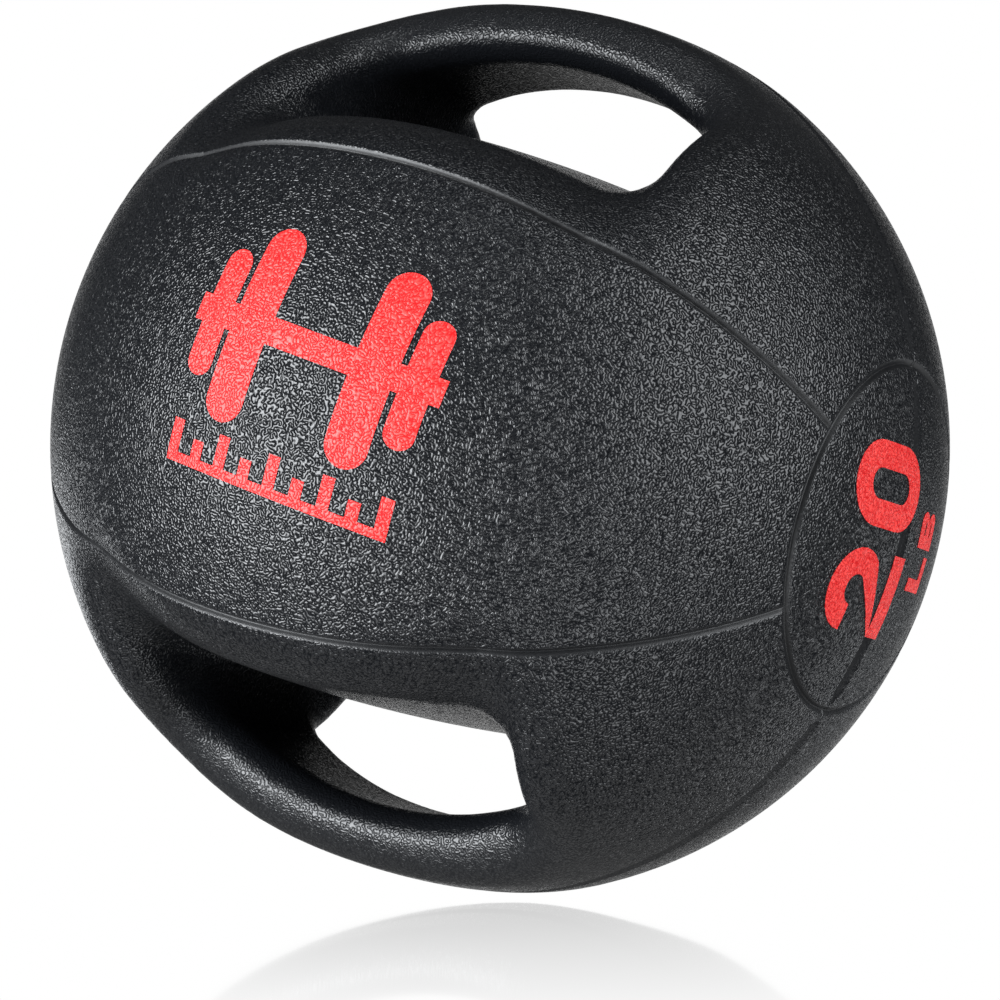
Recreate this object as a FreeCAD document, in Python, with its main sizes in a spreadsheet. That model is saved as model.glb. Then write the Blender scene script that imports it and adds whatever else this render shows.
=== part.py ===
"""Medicine ball with two moulded hand grips, as an assembly of separate solids.

Frame: origin at the ball's centre, +Z to the middle of the upper grip, the lower grip at -Z,
the large front panel towards -Y, and the end disc with the weight marking at +X.
The hand tunnels run along Y. The cover is moulded in two halves that meet in the plane Y = 0.
"""
import FreeCAD, Part
import math
import os
from FreeCAD import Placement, Rotation, Vector

doc = FreeCAD.newDocument("MedicineBall")

# ---------------------------------------------------------------- driving dimensions (mm, degrees)
DIMENSIONS = {
    # outer form
    "ball_radius": 137.5,
    "seam_angle": 30.0,
    "seam_width_radius": 1.3,
    "disc_angle": 22.4,
    "disc_width_radius": 1.5,
    "parting_radius": 0.35,
    # hand tunnels
    "floor_height": 83.5,
    "floor_curve": 220.0,
    "tunnel_half_length": 61.0,
    "floor_corner": 13.0,
    "grip_half_width": 28.0,
    "grip_edge": 9.0,
    "grip_root": 11.0,
    "rim_round": 8.5,
    "upper_grip_inner": 116.0,
    "lower_grip_inner": 114.0,
    "upper_grip_outer": 135.5,
    "lower_grip_outer": 134.5,
    "flat_reach": 68.0,
    "core_radius": 5.5,
    "core_knob_radius": 8.0,
    "core_half_angle": 38.0,
    "core_clearance": 0.3,
    # inside
    "cavity_radius": 129.0,
    "cavity_half_height": 66.0,
    "cavity_edge": 12.0,
    "layer_gap": 0.3,
    "carcass_radius": 108.0,
    "carcass_half_height": 55.0,
    "carcass_wall": 3.0,
    "bladder_wall": 2.2,
    # valve
    "valve_radius": 6.0,
    "valve_flange_radius": 15.0,
    "valve_flange_thickness": 2.0,
    "valve_core_radius": 3.6,
    "needle_mouth_radius": 1.6,
    "valve_recess": 0.8,
    "valve_foot_reach": 7.0,
    "valve_core_start": 12.0,
    "needle_mouth_tip": 0.2,
    "needle_mouth_depth": 6.0,
    # printed film
    "film_gap": 0.12,
    "film_thickness": 0.3,
    "emblem_tilt": 6.0,
    "emblem_half_length": 41.0,
    "emblem_bar": 8.0,
    "inner_plate_at": 20.5,
    "inner_plate_width": 13.0,
    "inner_plate_height": 58.0,
    "outer_plate_at": 33.5,
    "outer_plate_width": 9.0,
    "outer_plate_height": 38.0,
    "emblem_x": 8.0,
    "emblem_z": 11.0,
    "strip_x": 5.0,
    "strip_z": -27.0,
    "strip_line_low": -6.0,
    "strip_line_high": -3.2,
    "strip_mark_width": 3.8,
    "strip_long_mark": 6.0,
    "strip_short_mark": 2.0,
    "digit_height": 38.0,
    "digit_width": 25.0,
    "digit_stroke": 8.0,
    "digit_gap": 6.5,
    "number_y": -14.0,
    "unit_height": 14.0,
    "unit_width": 11.0,
    "unit_stroke": 4.0,
    "unit_y": 19.5,
}

sheet = doc.addObject("Spreadsheet::Sheet", "Dimensions")
for row, (alias, value) in enumerate(DIMENSIONS.items(), start=1):
    sheet.set(f"A{row}", alias)
    sheet.set(f"B{row}", str(value))
    sheet.setAlias(f"B{row}", alias)
doc.recompute()


def size(alias):
    """The sheet's value of a driving dimension."""
    return float(sheet.get(alias))


SPAN = 4.0 * size("ball_radius")  # long enough to pass through the whole ball
ALONG_X = Rotation(Vector(0, 1, 0), 90)
ALONG_Y = Rotation(Vector(1, 0, 0), -90)


# ---------------------------------------------------------------- document helpers
def bind(obj, **expressions):
    """Binds properties of an object to expressions of the sheet's aliases."""
    for prop, expression in expressions.items():
        text = expression
        for alias in sorted(DIMENSIONS, key=len, reverse=True):
            text = text.replace(f"<{alias}>", f"Dimensions.{alias}")
        obj.setExpression(prop, text)
    return obj


def primitive(kind, name, base=Vector(), rotation=Rotation(), **expressions):
    obj = doc.addObject(kind, name)
    obj.Placement = Placement(base, rotation)
    return bind(obj, **expressions)


def block(name, low, high):
    """A box between two corners."""
    obj = doc.addObject("Part::Box", name)
    obj.Length, obj.Width, obj.Height = (b - a for a, b in zip(low, high))
    obj.Placement = Placement(Vector(*low), Rotation())
    return obj


def cut(name, base, *tools):
    obj = doc.addObject("Part::Cut", name)
    obj.Base = base
    obj.Tool = tools[0] if len(tools) == 1 else fuse(name + "_tools", *tools)
    return obj


def fuse(name, *shapes):
    obj = doc.addObject("Part::MultiFuse", name)
    obj.Shapes = list(shapes)
    return obj


def common(name, *shapes):
    obj = doc.addObject("Part::MultiCommon", name)
    obj.Shapes = list(shapes)
    return obj


def fillet(name, base, alias, wanted):
    """Rounds the edges of base that wanted(edge) picks, with the sheet's radius alias."""
    doc.recompute()
    radius = size(alias)
    edges = [i for i, edge in enumerate(base.Shape.Edges, start=1) if wanted(edge)]
    if not edges:
        raise RuntimeError(f"{name}: no edge to round")
    obj = doc.addObject("Part::Fillet", name)
    obj.Base = base
    obj.Edges = [(i, radius, radius) for i in edges]
    doc.recompute()
    if not obj.Shape.isValid():
        raise RuntimeError(f"{name}: the fillet failed")
    return obj


def middle(edge):
    return edge.valueAt(0.5 * (edge.FirstParameter + edge.LastParameter))


# ---------------------------------------------------------------- hand tunnels
def flip(side):
    """Turns a shape made for the upper grip (+Z) to the lower one (-Z)."""
    return Rotation() if side == "upper" else Rotation(Vector(0, 1, 0), 180)


def grip_ring(side):
    """A ring round the Y axis. Where it crosses the tunnel it leaves the grip standing."""
    outer = primitive("Part::Cylinder", f"{side}_ring_outer", Vector(0, -size("grip_half_width"), 0),
                      ALONG_Y, Radius="<ball_radius> * 1.4", Height="2 * <grip_half_width>")
    inner = primitive("Part::Cylinder", f"{side}_ring_inner", Vector(0, -size("grip_half_width"), 0),
                      ALONG_Y, Radius=f"<{side}_grip_inner>", Height="2 * <grip_half_width>")
    ring = cut(f"{side}_ring", outer, inner)
    limit = size(f"{side}_grip_inner") + 1.0

    def on_inner_circle(edge):
        return isinstance(edge.Curve, Part.Circle) and edge.Curve.Radius < limit

    return fillet(f"{side}_ring_round", ring, "grip_edge", on_inner_circle)


def tunnel(side):
    """The space of one hand tunnel, open outwards on both sides of its grip."""
    half, floor = size("tunnel_half_length"), size("floor_height")
    slot = primitive("Part::Box", f"{side}_slot", Vector(-half, -SPAN / 2, floor / 2),
                     Length="2 * <tunnel_half_length>", Height="<ball_radius>")
    slot.Width = SPAN
    floor_drum = primitive("Part::Cylinder", f"{side}_floor_drum",
                           Vector(0, -SPAN / 2, floor - size("floor_curve")), ALONG_Y,
                           Radius="<floor_curve>")
    floor_drum.Height = SPAN
    channel = cut(f"{side}_channel", slot, floor_drum)

    def in_floor_corner(edge):
        point = middle(edge)
        return abs(abs(point.x) - half) < 0.01 and abs(point.y) < 0.01 and point.z < floor

    channel = fillet(f"{side}_channel_round", channel, "floor_corner", in_floor_corner)
    space = cut(f"{side}_space", channel, grip_ring(side))
    outer = size("ball_radius") * 1.3

    def at_grip_root(edge):
        point = middle(edge)
        near = abs(point.y) < size("grip_half_width") + 0.01
        reach = math.hypot(point.x, point.z)
        beside = abs(abs(point.x) - half) < 0.01
        return near and beside and size("floor_height") + 25 < reach < outer

    space = fillet(f"{side}_space_round", space, "grip_root", at_grip_root)
    turned = doc.addObject("Part::Compound", f"{side}_tunnel")
    turned.Links = [space]
    turned.Placement = Placement(Vector(), flip(side))
    return turned


# ---------------------------------------------------------------- outer form
def grooves():
    """Tools for the four panel grooves, the two disc grooves and the mould line."""
    reach = size("ball_radius") * math.cos(math.radians(size("disc_angle")))
    tools = []
    for name, sign in (("rising", 1), ("falling", -1)):
        lean = Rotation(Vector(1, 0, 0), sign * size("seam_angle"))
        ring = primitive("Part::Torus", f"{name}_seam_ring", rotation=lean,
                         Radius1="<ball_radius> + 0.3", Radius2="<seam_width_radius>")
        band = block(f"{name}_seam_band", (-reach, -SPAN, -SPAN), (reach, SPAN, SPAN))
        tools.append(common(f"{name}_seam", ring, band))
    for name, sign in (("right", 1), ("left", -1)):
        tools.append(primitive("Part::Torus", f"{name}_disc_groove", Vector(sign * reach, 0, 0), ALONG_X,
                               Radius1="(<ball_radius> + 0.3) * sin(<disc_angle> * 1 deg)",
                               Radius2="<disc_width_radius>"))
    tools.append(primitive("Part::Torus", "mould_line", rotation=ALONG_Y,
                           Radius1="<ball_radius> + 0.1", Radius2="<parting_radius>"))
    return tools


def flattened(side):
    """A large sphere that takes the grip's outer face slightly below the ball's."""
    ball, half, top = size("ball_radius"), size("flat_reach"), size(f"{side}_grip_outer")
    meet = math.sqrt(ball ** 2 - half ** 2)
    drop = (half ** 2 + meet ** 2 - top ** 2) / (2 * (top - meet))
    sign = 1 if side == "upper" else -1
    dome = doc.addObject("Part::Sphere", f"{side}_dome")
    dome.Radius = top + drop
    dome.Placement = Placement(Vector(0, 0, -sign * drop), Rotation())
    return dome


def outer_form():
    """The ball with both tunnels, its rims rounded and its grooves cut."""
    sphere = primitive("Part::Sphere", "sphere", Radius="<ball_radius>")
    pierced = cut("pierced", sphere, tunnel("upper"), tunnel("lower"))

    def on_rim(edge):
        points = [edge.valueAt(edge.FirstParameter + f * (edge.LastParameter - edge.FirstParameter))
                  for f in (0.1, 0.5, 0.9)]
        on_ball = all(abs(point.Length - size("ball_radius")) < 0.02 for point in points)
        near = all(abs(point.x) < size("tunnel_half_length") + 0.5 for point in points)
        return on_ball and near and abs(middle(edge).y) > 1.0

    rounded = fillet("rounded", pierced, "rim_round", on_rim)
    domed = rounded
    for side in ("upper", "lower"):
        domed = common(f"{side}_domed", domed, flattened(side))
    return cut("grooved", domed, *grooves())


# ---------------------------------------------------------------- grip cores
def grip_core(side, name, extra):
    """A bent rod with a knob at each end, thicker by extra all round."""
    track = 0.5 * (size(f"{side}_grip_inner") + size(f"{side}_grip_outer"))
    angle = size("core_half_angle")
    bend = Rotation(ALONG_Y.multiply(Rotation(Vector(0, 0, 1), -90.0 - angle)))
    rod = primitive("Part::Torus", f"{name}_rod", rotation=bend,
                    Radius1=f"(<{side}_grip_inner> + <{side}_grip_outer>) / 2",
                    Radius2=f"<core_radius> + {extra}", Angle3="2 * <core_half_angle>")
    knobs = []
    for end in (-1, 1):
        turn = math.radians(end * angle)
        at = Vector(track * math.sin(turn), 0, track * math.cos(turn))
        knobs.append(primitive("Part::Sphere", f"{name}_knob_{end + 1}", at,
                               Radius=f"<core_knob_radius> + {extra}"))
    core = fuse(f"{name}_bent", rod, *knobs)
    turned = doc.addObject("Part::Compound", name)
    turned.Links = [core]
    turned.Placement = Placement(Vector(), flip(side))
    return turned


# ---------------------------------------------------------------- layers inside
def drum(name, shrink):
    """The cavity of the cover: a ball cut flat above and below, smaller by shrink all round."""
    sphere = primitive("Part::Sphere", f"{name}_sphere", Radius=f"<cavity_radius> - {shrink}")
    top = size("cavity_half_height") - shrink
    slab = block(f"{name}_slab", (-SPAN, -SPAN, -top), (SPAN, SPAN, top))
    body = common(f"{name}_sharp", sphere, slab)

    def on_flat_rim(edge):
        return edge.Length > 1.0 and abs(abs(middle(edge).z) - top) < 0.01

    return fillet(name, body, "cavity_edge", on_flat_rim)


def lens(name, shrink):
    """A flattened ball that fits between the two hand tunnels, smaller by shrink all round."""
    return primitive("Part::Ellipsoid", name, Radius1=f"<carcass_half_height> - ({shrink})",
                     Radius2=f"<carcass_radius> - ({shrink})", Radius3=f"<carcass_radius> - ({shrink})")


def valve_hole(name):
    """The passage for the valve, from the bladder's inside out through the rear of the ball."""
    return primitive("Part::Cylinder", name, Vector(0, 0.5 * size("carcass_radius"), 0), ALONG_Y,
                     Radius="<valve_radius> + <layer_gap>", Height="<ball_radius>")


def half(name, body, side):
    """The front (Y < 0) or rear (Y > 0) half of a body."""
    low, high = (-SPAN, 0) if side == "front" else (0, SPAN)
    return common(name, body, block(f"{name}_side", (-SPAN, low, -SPAN), (SPAN, high, SPAN)))


# ---------------------------------------------------------------- printed film
def bar(name, u0, v0, u1, v1):
    """An upright prism over a rectangle of the print's plane, u to the right and v up."""
    return block(name, (u0, v0, 0), (u1, v1, SPAN))


def film(name, shapes, base, turn):
    """The part of a thin shell just above the ball that lies over the given prisms."""
    prism = shapes[0] if len(shapes) == 1 else fuse(f"{name}_prism", *shapes)
    placed = doc.addObject("Part::Compound", f"{name}_placed")
    placed.Links = [prism]
    placed.Placement = Placement(base, turn)
    top = primitive("Part::Sphere", f"{name}_top", Radius="<ball_radius> + <film_gap> + <film_thickness>")
    foot = primitive("Part::Sphere", f"{name}_foot", Radius="<ball_radius> + <film_gap>")
    return common(name, cut(f"{name}_shell", top, foot), placed)


def pill(name, u, half_width, half_height):
    """An upright prism over a rectangle with round ends, its middle at (u, 0)."""
    straight = half_height - half_width
    parts = [bar(f"{name}_middle", u - half_width, -straight, u + half_width, straight)]
    for sign in (-1, 1):
        end = doc.addObject("Part::Cylinder", f"{name}_end_{sign + 1}")
        end.Radius, end.Height = half_width, SPAN
        end.Placement = Placement(Vector(u, sign * straight, 0), Rotation())
        parts.append(end)
    return parts


def emblem():
    """A plain pictogram of a hand weight: a bar with two round-ended plates at each end."""
    reach, thick = size("emblem_half_length"), 0.5 * size("emblem_bar")
    parts = [bar("emblem_handle", -reach, -thick, reach, thick)]
    for sign in (-1, 1):
        for tag in ("inner", "outer"):
            middle_u = sign * size(f"{tag}_plate_at")
            half_width, half_height = 0.5 * size(f"{tag}_plate_width"), 0.5 * size(f"{tag}_plate_height")
            parts += pill(f"emblem_{tag}_{sign + 1}", middle_u, half_width, half_height)
    return parts


def strip():
    """A plain measuring strip: a base line with evenly spaced marks, every second one shorter."""
    reach, marks = 0.9 * size("emblem_half_length"), 9
    low, high, half_mark = size("strip_line_low"), size("strip_line_high"), 0.5 * size("strip_mark_width")
    parts = [bar("strip_line", -reach, low, reach, high)]
    for k in range(marks):
        u = 0.95 * reach * (2.0 * k / (marks - 1) - 1.0)
        top = size("strip_long_mark") if k % 2 == 0 else size("strip_short_mark")
        parts.append(bar(f"strip_mark_{k}", u - half_mark, 0.5 * (low + high), u + half_mark, top))
    return parts


def ring_prism(name, u, v, outer_radius, inner_radius, start=0.0, sweep=360.0):
    """An upright ring, or the part of one from the angle start."""
    rings = []
    for tag, radius in (("outer", outer_radius), ("inner", inner_radius)):
        cylinder = doc.addObject("Part::Cylinder", f"{name}_{tag}")
        cylinder.Radius, cylinder.Height = radius, SPAN
        cylinder.Angle = sweep if tag == "outer" else 360.0
        cylinder.Placement = Placement(Vector(u, v, 0), Rotation(Vector(0, 0, 1), start))
        rings.append(cylinder)
    return cut(name, *rings)


def digit_two(u):
    wide, tall, stroke = size("digit_width"), size("digit_height"), size("digit_stroke")
    radius = 0.5 * wide
    top = 0.5 * tall - radius
    hook = ring_prism("two_hook", u, top, radius, radius - stroke, -40.0, 220.0)
    foot = bar("two_foot", u - radius, -0.5 * tall, u + radius, -0.5 * tall + stroke)
    turn = math.radians(-40.0)
    mid = radius - 0.5 * stroke
    start = Vector(u + mid * math.cos(turn), top + mid * math.sin(turn), 0)
    end = Vector(u - radius + 0.62 * stroke, -0.5 * tall + 0.5 * stroke, 0)
    slope = end - start
    diagonal = block("two_diagonal", (0, -0.5 * stroke, 0), (slope.Length, 0.5 * stroke, SPAN))
    heading = math.degrees(math.atan2(slope.y, slope.x))
    diagonal.Placement = Placement(start, Rotation(Vector(0, 0, 1), heading)).multiply(diagonal.Placement)
    return [hook, foot, diagonal]


def digit_zero(u):
    wide, tall, stroke = size("digit_width"), size("digit_height"), size("digit_stroke")
    radius, straight = 0.5 * wide, 0.5 * (tall - wide)
    parts = []
    for name, sign, start in (("zero_top", 1, 0.0), ("zero_bottom", -1, 180.0)):
        parts.append(ring_prism(name, u, sign * straight, radius, radius - stroke, start, 180.0))
        u0, u1 = sorted((u + sign * radius, u + sign * (radius - stroke)))
        parts.append(bar(f"{name}_side", u0, -straight, u1, straight))
    return parts


def letter_l(u):
    wide, tall, stroke = size("unit_width"), size("unit_height"), size("unit_stroke")
    low, left = -0.5 * tall, u - 0.5 * wide
    stem = bar("l_stem", left, low, left + stroke, -low)
    return [stem, bar("l_foot", left, low, left + wide, low + stroke)]


def letter_b(u):
    wide, tall, stroke = size("unit_width"), size("unit_height"), size("unit_stroke")
    low, left = -0.5 * tall, u - 0.5 * wide
    bowl = 0.25 * tall + 0.25 * stroke
    parts = [bar("b_stem", left, low, left + stroke, -low)]
    for tag, v in (("lower", low + bowl), ("upper", -low - bowl)):
        shift = left + wide - bowl
        parts.append(ring_prism(f"b_{tag}_bowl", shift, v, bowl, 0.35 * bowl, -90.0, 180.0))
        for rail, v0, v1 in (("top", v + 0.35 * bowl, v + bowl), ("base", v - bowl, v - 0.35 * bowl)):
            parts.append(bar(f"b_{tag}_{rail}", left, v0, shift, v1))
    return parts


# ---------------------------------------------------------------- assembly
FRONT = Rotation(Vector(1, 0, 0), 90)  # u to +X, v to +Z
TILTED = FRONT.multiply(Rotation(Vector(0, 0, 1), -size("emblem_tilt")))
END = Rotation(Vector(0, 0, 1), Vector(0, -1, 0), Vector(1, 0, 0), "XYZ")  # u to +Z, v to -Y


def build():
    """Makes every piece and returns it under its name."""
    pieces = {}
    cores = {side: grip_core(side, f"{side}_core", "0") for side in ("upper", "lower")}
    channels = [grip_core(side, f"{side}_core_channel", "<core_clearance>") for side in ("upper", "lower")]
    hollow = cut("cover", outer_form(), drum("cavity", 0.0), valve_hole("cover_valve_hole"), *channels)
    gap = size("layer_gap")
    lining = cut("ballast", drum("ballast_outside", gap), lens("ballast_inside", "0 - <layer_gap>"),
                 valve_hole("ballast_valve_hole"))
    for side in ("front", "rear"):
        pieces[f"{side}_cover"] = half(f"{side}_cover_half", hollow, side)
        pieces[f"{side}_ballast"] = half(f"{side}_ballast_half", lining, side)
    pieces["upper_grip_core"], pieces["lower_grip_core"] = cores["upper"], cores["lower"]
    pieces["carcass"] = cut("carcass_shell", lens("carcass_outside", "0"),
                            lens("carcass_inside", "<carcass_wall>"), valve_hole("carcass_valve_hole"))
    pieces["bladder"] = cut("bladder_shell", lens("bladder_outside", "<carcass_wall> + <layer_gap>"),
                            lens("bladder_inside", "<carcass_wall> + <layer_gap> + <bladder_wall>"),
                            valve_hole("bladder_valve_hole"))

    bladder_inside = size("carcass_radius") - size("carcass_wall") - gap - size("bladder_wall")
    foot = bladder_inside - size("valve_foot_reach")
    tube = primitive("Part::Cylinder", "valve_tube", Vector(0, foot, 0), ALONG_Y, Radius="<valve_radius>",
                     Height=f"<ball_radius> - <valve_recess> - {foot}")
    flange = primitive("Part::Cylinder", "valve_flange", Vector(0, foot, 0), ALONG_Y,
                       Radius="<valve_flange_radius>", Height="<valve_flange_thickness>")
    bore = primitive("Part::Cylinder", "valve_bore", Vector(0, foot - 1, 0), ALONG_Y,
                     Radius="<valve_core_radius> + <layer_gap>", Height="<ball_radius>")
    pieces["valve_housing"] = cut("valve_housing_body", fuse("valve_housing_solid", tube, flange), bore)
    start = foot + size("valve_core_start")
    plug = primitive("Part::Cylinder", "valve_plug", Vector(0, start, 0), ALONG_Y,
                     Radius="<valve_core_radius>",
                     Height=f"<ball_radius> - <valve_recess> - <layer_gap> - {start}")
    mouth = primitive("Part::Cone", "valve_mouth",
                      Vector(0, size("ball_radius") - size("needle_mouth_depth"), 0), ALONG_Y,
                      Radius1="<needle_mouth_tip>", Radius2="<needle_mouth_radius>",
                      Height="<needle_mouth_depth>")
    pieces["valve_core"] = cut("valve_core_body", plug, mouth)

    emblem_base = Vector(size("emblem_x"), 0, size("emblem_z"))
    strip_base = Vector(size("strip_x"), 0, size("strip_z"))
    pieces["front_emblem"] = film("front_emblem_film", emblem(), emblem_base, TILTED)
    pieces["emblem_strip"] = film("emblem_strip_film", strip(), strip_base, TILTED)
    digit = 0.5 * (size("digit_width") + size("digit_gap"))
    unit = 0.6 * size("unit_width")
    number_base, unit_base = Vector(0, size("number_y"), 0), Vector(0, size("unit_y"), 0)
    pieces["weight_digit_two"] = film("two_film", digit_two(-digit), number_base, END)
    pieces["weight_digit_zero"] = film("zero_film", digit_zero(digit), number_base, END)
    pieces["unit_letter_l"] = film("l_film", letter_l(-unit), unit_base, END)
    pieces["unit_letter_b"] = film("b_film", letter_b(unit), unit_base, END)
    return pieces


pieces = build()
doc.recompute()
for obj in doc.Objects:
    if "Invalid" in obj.State or "Error" in obj.State:
        raise RuntimeError(f"{obj.Name} failed: {obj.State}")
for name, obj in pieces.items():
    obj.Label = name
    shape = obj.Shape
    if shape.isNull() or not shape.isValid():
        raise RuntimeError(f"{name} has no valid shape")
    print(f"{name:18s} solids {len(shape.Solids)}  volume {shape.Volume / 1000:9.2f} cm3")
os.makedirs("parts", exist_ok=True)
for name, obj in pieces.items():
    obj.Shape.exportStep(f"parts/{name}.step")
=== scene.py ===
"""The looks of a medicine ball with two moulded hand grips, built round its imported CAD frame.

Lengths inside the shape functions are millimetres in the row frame: origin at the ball's centre,
+Z to the upper grip, the front panel towards -Y, the weight marking at +X. The meshes are written
in metres. The cover is one formula, a signed distance that is negative in the rubber; it is meshed
as two shells that meet in the plane y = 0, where the mould line runs.
"""

import math

import bmesh
import bpy
import numpy as np
from mathutils import Matrix, Vector
from mathutils.geometry import tessellate_polygon


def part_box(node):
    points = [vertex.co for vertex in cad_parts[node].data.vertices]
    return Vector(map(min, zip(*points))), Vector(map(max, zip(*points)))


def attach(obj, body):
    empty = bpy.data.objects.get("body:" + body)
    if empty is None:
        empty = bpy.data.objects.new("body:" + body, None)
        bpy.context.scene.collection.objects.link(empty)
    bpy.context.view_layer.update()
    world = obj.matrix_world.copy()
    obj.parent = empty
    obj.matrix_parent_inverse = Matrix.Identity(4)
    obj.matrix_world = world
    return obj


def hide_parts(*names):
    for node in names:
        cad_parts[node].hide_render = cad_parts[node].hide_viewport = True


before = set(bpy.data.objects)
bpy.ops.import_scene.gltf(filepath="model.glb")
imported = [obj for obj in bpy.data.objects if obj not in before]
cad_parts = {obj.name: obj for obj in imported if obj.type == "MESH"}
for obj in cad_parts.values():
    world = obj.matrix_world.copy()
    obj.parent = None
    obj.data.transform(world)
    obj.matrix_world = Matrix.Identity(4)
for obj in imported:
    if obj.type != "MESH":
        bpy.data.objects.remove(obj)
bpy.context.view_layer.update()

MM = 0.001
COVER_LOW, COVER_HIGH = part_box("front_cover")
BALL_RADIUS = 0.5 * (COVER_HIGH.x - COVER_LOW.x) / MM

# ---------------------------------------------------------------- the cover's form (mm)
TUNNEL = {
    "floor": 86.0,          # height of the tunnel's floor in the middle
    "floor_bend_y": 1100.0,  # the floor falls away along the tunnel and across it
    "floor_bend_x": 200.0,
    "end": 61.0,            # half length of the tunnel across the grip
    "end_slope": 0.15,
    "end_middle": 95.0,     # height at which the end wall stands at its half length
    "corner": 13.0,         # rounding between floor and end wall
    "bar_inside": 116.0,    # radius of the grip's inner face
    "bar_half_width": 28.0,
    "bar_flare": 8.0,       # how much wider the grip is at its roots
    "flare_from": 20.0,     # where along x the flare starts
    "flare_over": 45.0,
    "bar_edge": 10.0,
    "bar_root": 9.0,
    "rim": 13.0,            # rounding of the tunnel's mouth
    "rim_end": 9.0,         # the mouth is rounder by this much where the grip meets the ball
    "rim_from": 25.0,
    "rim_over": 40.0,
    "flat": 2.0,            # how far the grip's outside is pressed in
    "flat_half_length": 62.0,
    "flat_from": 80.0,      # height at which the flat starts
    "flat_over": 40.0,
}
UPPER = dict(TUNNEL)
LOWER = dict(TUNNEL, bar_inside=114.0, flat=3.0)

SEAM_ANGLE = math.radians(30.0)  # the seams lie in planes through the x axis, this far off level
DISC_ANGLE = math.radians(22.4)  # half angle of the end discs, seen from the centre
SEAM_DEPTH, SEAM_HALF_WIDTH = 1.3, 0.75
DISC_DEPTH, DISC_HALF_WIDTH = 1.3, 0.9
MOULD_DEPTH, MOULD_HALF_WIDTH = 1.2, 0.45
SKIN_BAND = 4.0                  # seams and discs are cut only this near the ball's outside
FAR_AWAY = 20.0
MOULD_LINE_END = 128.0           # the mould line fades out inside this radius

CAVITY_RADIUS, CAVITY_HALF_HEIGHT, CAVITY_EDGE = 129.0, 66.0, 12.0
CORE_HALF_ANGLE = math.radians(38.0)
CORE_BORE_RADIUS, CORE_KNOB_RADIUS = 5.8, 8.3
CORE_TRACKS = {"upper": 125.75, "lower": 124.25}
VALVE_HOLE_RADIUS, VALVE_HOLE_START, VALVE_HOLE_ROUNDING = 6.3, 54.0, 0.8


def carve(a, b, radius):
    """The overlap of two forms, with the edge where they meet rounded off."""
    outside = np.hypot(np.maximum(a + radius, 0), np.maximum(b + radius, 0))
    return np.minimum(-radius, np.maximum(a, b)) + outside


def tunnel(x, y, height, t):
    """The hand tunnel below one grip: negative in the open space round the bar."""
    floor_height = t["floor"] - y * y / (2 * t["floor_bend_y"]) - x * x / (2 * t["floor_bend_x"])
    steepness = np.sqrt(1 + (x / t["floor_bend_x"]) ** 2 + (y / t["floor_bend_y"]) ** 2)
    floor = (floor_height - height) / steepness
    end = np.abs(x) - t["end"] - t["end_slope"] * (t["end_middle"] - height)
    end = end / math.hypot(1, t["end_slope"])
    channel = carve(floor, end, t["corner"])
    flare = np.clip((np.abs(x) - t["flare_from"]) / t["flare_over"], 0, 1) ** 2
    under = t["bar_inside"] - np.hypot(x, height)
    side = np.abs(y) - t["bar_half_width"] - t["bar_flare"] * flare
    bar = carve(under, side, t["bar_edge"])
    return carve(channel, -bar, t["bar_root"])


def outer_form(p):
    """The ball with its two flattened grips and its tunnels, still full inside."""
    x, y, z = p[..., 0], p[..., 1], p[..., 2]
    height = np.abs(z)
    flat = np.where(z > 0, UPPER["flat"], LOWER["flat"])
    reach = np.clip(1 - (x / TUNNEL["flat_half_length"]) ** 2, 0, 1) ** 2
    ball = np.sqrt(x * x + y * y + z * z) - BALL_RADIUS
    ball = ball + flat * reach * np.clip((height - TUNNEL["flat_from"]) / TUNNEL["flat_over"], 0, 1)
    void = np.where(z > 0, tunnel(x, y, height, UPPER), tunnel(x, y, height, LOWER))
    widening = np.clip((np.abs(x) - TUNNEL["rim_from"]) / TUNNEL["rim_over"], 0, 1) ** 2
    return carve(ball, -void, TUNNEL["rim"] + TUNNEL["rim_end"] * widening)


def core_bore(p, track, side):
    """The bent channel in a grip that holds its stiffening core."""
    x, y, z = p[..., 0], p[..., 1], side * p[..., 2]
    turn = np.clip(np.arctan2(x, z), -CORE_HALF_ANGLE, CORE_HALF_ANGLE)
    rod = np.sqrt((x - track * np.sin(turn)) ** 2 + y * y + (z - track * np.cos(turn)) ** 2)
    knob_x, knob_z = track * math.sin(CORE_HALF_ANGLE), track * math.cos(CORE_HALF_ANGLE)
    knob = np.sqrt((np.abs(x) - knob_x) ** 2 + y * y + (z - knob_z) ** 2)
    return np.minimum(rod - CORE_BORE_RADIUS, knob - CORE_KNOB_RADIUS)


def cover_form(p, with_valve):
    """The whole cover: negative inside the rubber."""
    solid = outer_form(p)
    if with_valve:
        hole = VALVE_HOLE_RADIUS - np.hypot(p[..., 0], p[..., 2])
        hole = np.where(np.abs(p[..., 1]) > VALVE_HOLE_START, hole, -VALVE_HOLE_RADIUS)
        solid = carve(solid, hole, VALVE_HOLE_ROUNDING)
    radius = np.sqrt((p ** 2).sum(-1))
    cavity = carve(radius - CAVITY_RADIUS, np.abs(p[..., 2]) - CAVITY_HALF_HEIGHT, CAVITY_EDGE)
    solid = np.maximum(solid, -cavity)
    for side, name in ((1, "upper"), (-1, "lower")):
        solid = np.maximum(solid, -core_bore(p, CORE_TRACKS[name], side))
    return solid


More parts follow.
